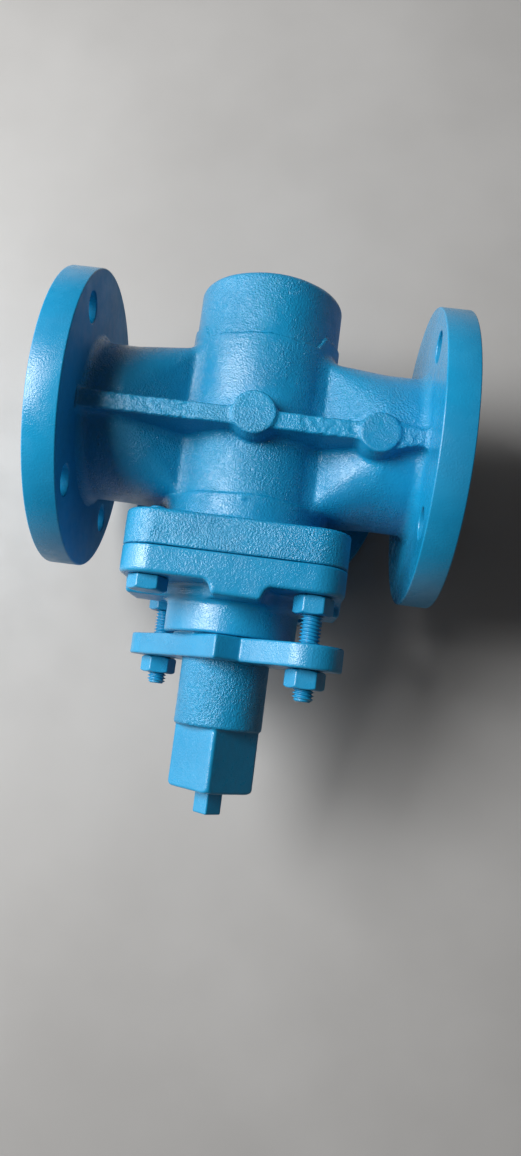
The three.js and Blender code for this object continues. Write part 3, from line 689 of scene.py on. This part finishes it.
def plug_field(x, y, z):
    r = np.hypot(x, z)
    u, v = turned_45(x, z)
    taper = crop(r - (TAPER_R - TAPER * y), slab(y, -68, 62), 1.2)
    head = crop(r - HEAD_R, slab(y, -81, -67), 0.6)
    stem = crop(r - STEM_R, slab(y, STEM_END, -75), 1.6)
    square = rect(u, v, STEM_SQUARE, STEM_SQUARE, STEM_SQUARE_CORNER)
    square = crop(square, r - SQUARE_TURNED_R, 0.8)
    square = crop(square, (r - SQUARE_END_R - (y - SQUARE_END)) * 0.7, 0.6)
    square = crop(square, slab(y, SQUARE_END, -180), 1.3)
    d = np.minimum(np.minimum(taper, head), fillet(stem, square, 1.0))
    high = slab(y, -WINDOW_HIGH, WINDOW_HIGH)
    through = crop(slab(z, -WINDOW_WIDE, WINDOW_WIDE), high)
    branch = crop(crop(slab(x, -WINDOW_WIDE, WINDOW_WIDE), high), z)
    d = np.maximum(d, -np.minimum(through, branch))
    d = np.maximum(d, -cylinders(r, y, PLUG_BORES))
    groove = crop(np.minimum(np.abs(u), np.abs(v)) - SEAL_HALF, slab(y, -55, 52))
    groove = np.maximum(groove, (TAPER_R - TAPER * y - SEAL_DEPTH) - r)
    return np.maximum(d, -groove)


def stem_rough(x, y, z):
    """Cast skin on the part of the stem that is seen, a little more on its round part."""
    seen = step(y, -120, -140)
    on_round = step(y, -188, -184)
    return seen * (0.04 + 0.05 * on_round) * (noise(x, y, z, 2.8, 9) + 0.6 * noise(x, y, z, 1.7, 10))


plug = shaped("plug_and_stem", plug_field, (-39, -225.5, -39), (39, 63, 39), MEDIUM, stem_rough)
finish(plug, STEM, "plug", "fitting_paint", "plug")


def screw_field(x, y, z):
    r = np.hypot(x, z)
    u, v = turned_45(x, z)
    square = crop(rect(u, v, SCREW_SQUARE, SCREW_SQUARE, SCREW_CORNER), slab(y, -239, -215), 0.9)
    return np.minimum(square, crop(r - SCREW_R, slab(y, -222.5, -197), 1))


screw = shaped("sealant_screw_square", screw_field, (-10, -239.5, -10), (10, -196, 10), FINE)
finish(screw, SMOOTH, "screw", "fitting_paint", "sealant_screw")


# ---- fasteners ----
FLATS, HEX_R, HEX_BOX, NUT_HIGH, HEAD_HIGH = 20.8, 9.9, 12.5, 11, 8.5
SEATED, GLAND_NUT_AT = FLOOR_Y - 0.3, -146.1
STUD_ENDS, BOLT_ENDS = (-70.5, -164.2), (-62.0, -104.5)
THREAD_ROW, THREAD_END, THREAD_TIP = 0.22, 2.2, 0.01


def hexagon(x, z, turn):
    d = None
    for i in range(3):
        a = turn + i * math.pi / 3
        side = np.abs(x * math.sin(a) + z * math.cos(a)) - FLATS / 2
        d = side if d is None else crop(d, side, 0.5)
    return d


def hex_field(high, height, turn, nut):
    """A hexagon from high down by height, chamfered below; a nut also above, and it has a hole."""
    def field(x, y, z):
        r = np.hypot(x, z)
        d = crop(hexagon(x, z, turn), slab(y, high - height, high), 0.25)
        d = crop(d, ((r - HEX_R) - math.sqrt(3) * (y - high + height)) * 0.5, 0.3)
        if nut:
            d = crop(d, ((r - HEX_R) - math.sqrt(3) * (high - y)) * 0.5, 0.3)
            d = cut(d, r - THREAD_HOLE_R, 0.6)
        return d
    return field


def small_rough(x, y, z):
    return 0.035 * noise(x, y, z, 2.0, 12)


def hexagon_piece(name, high, height, turn, nut, x, z, body, node):
    lo = (-HEX_BOX, high - height - 0.2, -HEX_BOX)
    hi = (HEX_BOX, high + 0.2, HEX_BOX)
    obj = shaped(name, hex_field(high, height, turn, nut), lo, hi, FINE, small_rough)
    obj.data.transform(Matrix.Translation(Vector((x, 0, z)) * MM))
    finish(obj, SMOOTH, body, "fitting_paint", node)


def threaded(name, high, low, x, z, body, node):
    """A threaded rod with a chamfer at each end."""
    rows = [(THREAD_TIP, high), (THREAD_CREST - THREAD_END, high)]
    y = high - 0.2
    while y > low + 0.3:
        rows.append((THREAD_CREST, y))
        y -= THREAD_ROW
    rows += [(THREAD_CREST - THREAD_END, low), (THREAD_TIP, low)]

    def ripple(a, y, r):
        phase = (y / PITCH + a / (2 * math.pi)) % 1.0
        wave = np.clip(1.15 - 2.9 * np.abs(phase - 0.5), 0, 1)
        depth = (THREAD_CREST - THREAD_ROOT) * (1 - wave)
        end = np.minimum(high - y, y - low)
        limit = THREAD_CREST - THREAD_END + np.clip(end, 0, 9) * 1.1
        return np.where(r < THREAD_CREST - 0.1, r, np.minimum(THREAD_CREST - depth, limit))

    obj = turned(name, rows, 40, (x, z), ripple)
    finish(obj, SMOOTH, body, "fitting_paint", node)


for end, s, turn, bolt_turn in (("near", 1, -0.04, 0.1), ("far", -1, 0.12, 0.3)):
    at, bolt_at = (s * FIX, s * FIX), (-s * FIX, s * FIX)
    threaded(f"stud_thread_{end}", *STUD_ENDS, *at, "housing", f"stud_{end}")
    hexagon_piece(f"cover_nut_hex_{end}", SEATED, NUT_HIGH, turn, True, *at, "housing", f"cover_nut_{end}")
    hexagon_piece(f"gland_nut_hex_{end}", GLAND_NUT_AT, NUT_HIGH, turn + 0.05, True, *at,
                  f"nut_{end}", f"gland_nut_{end}")
    hexagon_piece(f"bolt_head_{end}", SEATED, HEAD_HIGH, bolt_turn, False, *bolt_at,
                  "housing", f"cover_bolt_{end}")
    threaded(f"bolt_thread_{end}", *BOLT_ENDS, *bolt_at, "housing", f"cover_bolt_{end}")


# ---- hidden pieces keep their CAD shape, with their own finish ----
HIDDEN = ((STEEL, ("diaphragm", "thrust_washer", "check_seat", "check_ball", "check_spring")),
          (FIBRE, ("cover_gasket",)),
          (PACKING, ("packing_ring_1", "packing_ring_2", "packing_ring_3")),
          (SEALANT, ("sealant_stick",)))
for mat, names in HIDDEN:
    for node in names:
        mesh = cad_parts[node].data
        mesh.materials.clear()
        mesh.materials.append(mat)


# ---- floor ----
def floor_material():
    mat, tree, bsdf = nodes_of("floor")
    b = Build(tree)
    cloud = b.span(b.noise(3, 5), 0.3, 0.7)
    b.put(bsdf.inputs["Base Color"], b.mix(cloud, (0.40, 0.385, 0.375, 1), (0.46, 0.445, 0.435, 1)))
    b.put(bsdf.inputs["Roughness"], b.span(b.noise(20, 3), 0.3, 0.7, 0.5, 0.65))
    return mat


floor_mesh = bpy.data.meshes.new("floor")
FLOOR_HALF = 6.0
corners = [(u * FLOOR_HALF, v * FLOOR_HALF, 0) for u, v in ((-1, -1), (1, -1), (1, 1), (-1, 1))]
floor_mesh.from_pydata(corners, [], [(0, 1, 2, 3)])
floor = bpy.data.objects.new("floor", floor_mesh)
bpy.context.scene.collection.objects.link(floor)
floor_mesh.materials.append(floor_material())


# ---- light ----
def area(name, place, target, size, power, colour=(1, 1, 1)):
    light = bpy.data.lights.new(name, "AREA")
    light.shape = "RECTANGLE"
    light.size, light.size_y = size
    light.energy = power
    light.color = colour
    obj = bpy.data.objects.new(name, light)
    obj.location = place
    obj.rotation_euler = (Vector(target) - Vector(place)).to_track_quat("-Z", "Y").to_euler()
    bpy.context.scene.collection.objects.link(obj)


aim = (0, 0, 0.12)
area("key", (-0.931, 0.250, 1.269), aim, (0.8, 0.8), 28, (0.98, 1.0, 1.0))
area("side", (-1.210, 0.213, 0.98), aim, (0.8, 0.8), 5, (0.96, 0.99, 1.0))
area("window", (-1.45, 0.1, 0.5), aim, (1.4, 0.8), 9, (0.97, 0.99, 1.0))
world = bpy.data.worlds.new("studio")
world.use_nodes = True
background = world.node_tree.nodes["Background"]
background.inputs[0].default_value = (0.86, 0.82, 0.80, 1)
background.inputs[1].default_value = 0.07
bpy.context.scene.world = world

bpy.context.scene.view_settings.view_transform = "Standard"

# ---- camera: the focal length and the frame's height are in pixels ----
SENSOR, FOCAL, FRAME_HEIGHT = 36, 844.2, 1156
camera = bpy.data.cameras.new("camera")
camera.sensor_fit = "AUTO"
camera.sensor_width = SENSOR
camera.lens = FOCAL / FRAME_HEIGHT * SENSOR
eye = bpy.data.objects.new("camera", camera)
right = Vector((0.992039, 0.125583, -0.009350))
down = Vector((0.123130, -0.982873, -0.137112))
ahead = Vector((-0.026409, 0.134869, -0.990511))
pose = Matrix((right, -down, -ahead)).transposed().to_4x4()
pose.translation = (Vector((29.166, -162.546, 534.738)) + Vector(CENTRE)) * MM
eye.matrix_world = pose
bpy.context.scene.collection.objects.link(eye)
bpy.context.scene.camera = eye
